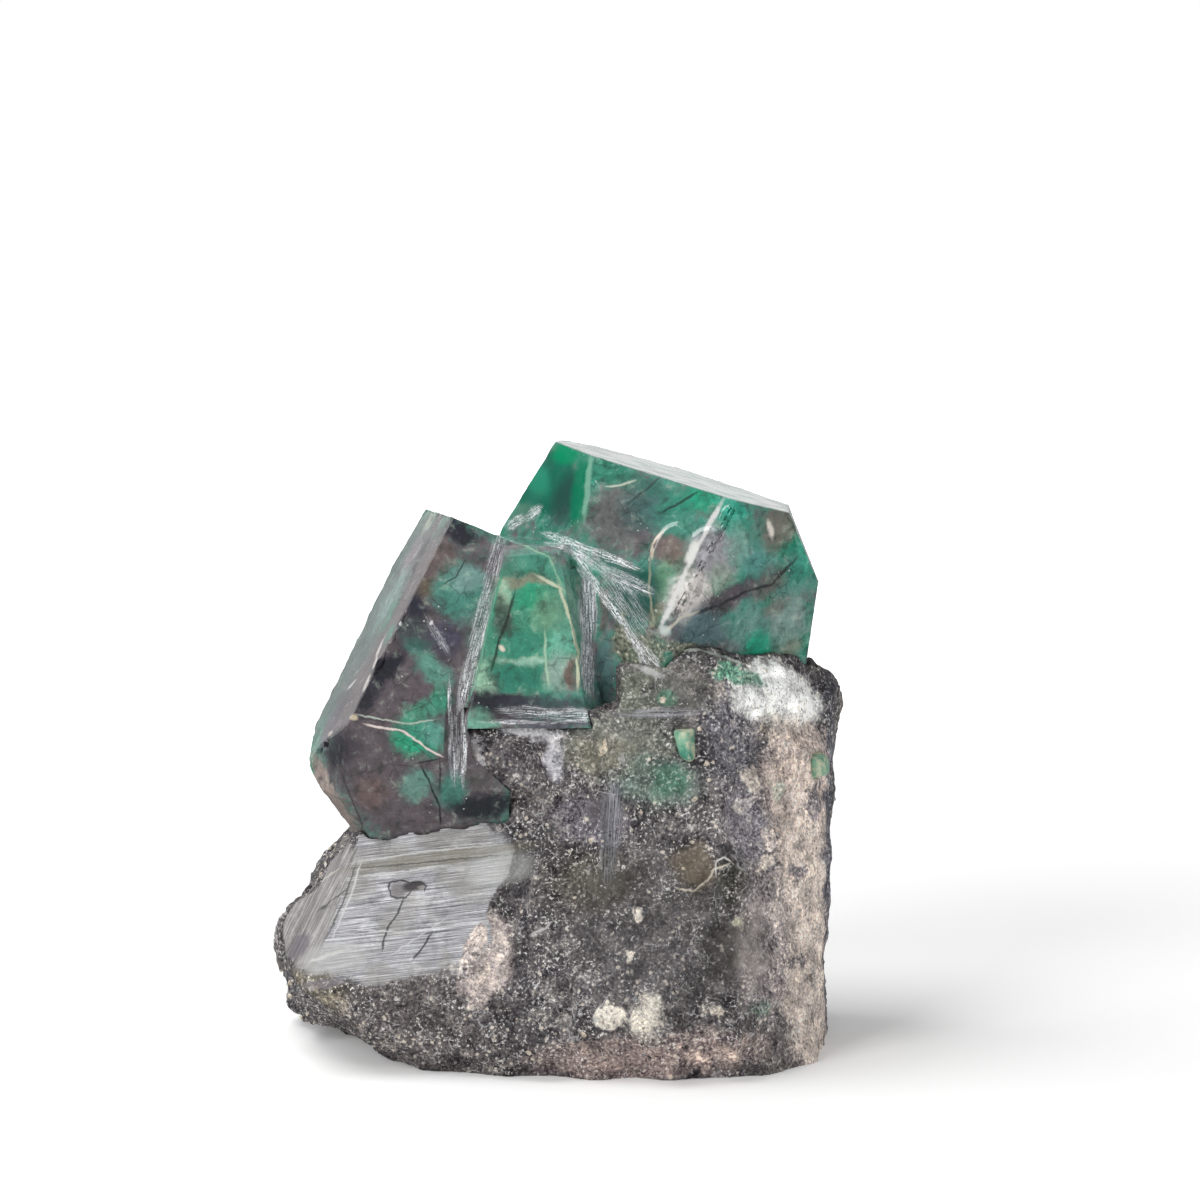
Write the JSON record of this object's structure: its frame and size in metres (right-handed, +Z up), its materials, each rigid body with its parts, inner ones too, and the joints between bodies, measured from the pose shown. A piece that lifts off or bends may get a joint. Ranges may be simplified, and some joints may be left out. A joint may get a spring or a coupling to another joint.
{
  "type": "emerald in matrix",
  "caption": "Polished emerald crystals standing in a rough block of dark mica schist, with ground flats and saw grooves; it rests on a flat base.",
  "frame": {"origin": "on the flat base, under the middle of the stone", "axes": "+Z up, -Y towards the polished front, +X to the right seen from the front"},
  "size_m": [0.1021, 0.0715, 0.1057],
  "materials": {
    "schist": "broken and ground, with mica specks",
    "emerald": "polished, mottled green and grey"
  },
  "bodies": {
    "root": {"schist_matrix": "schist", "emerald_crystals": "emerald", "small_crystal": "emerald", "side_crystal": "emerald"}
  },
  "joints": []
}
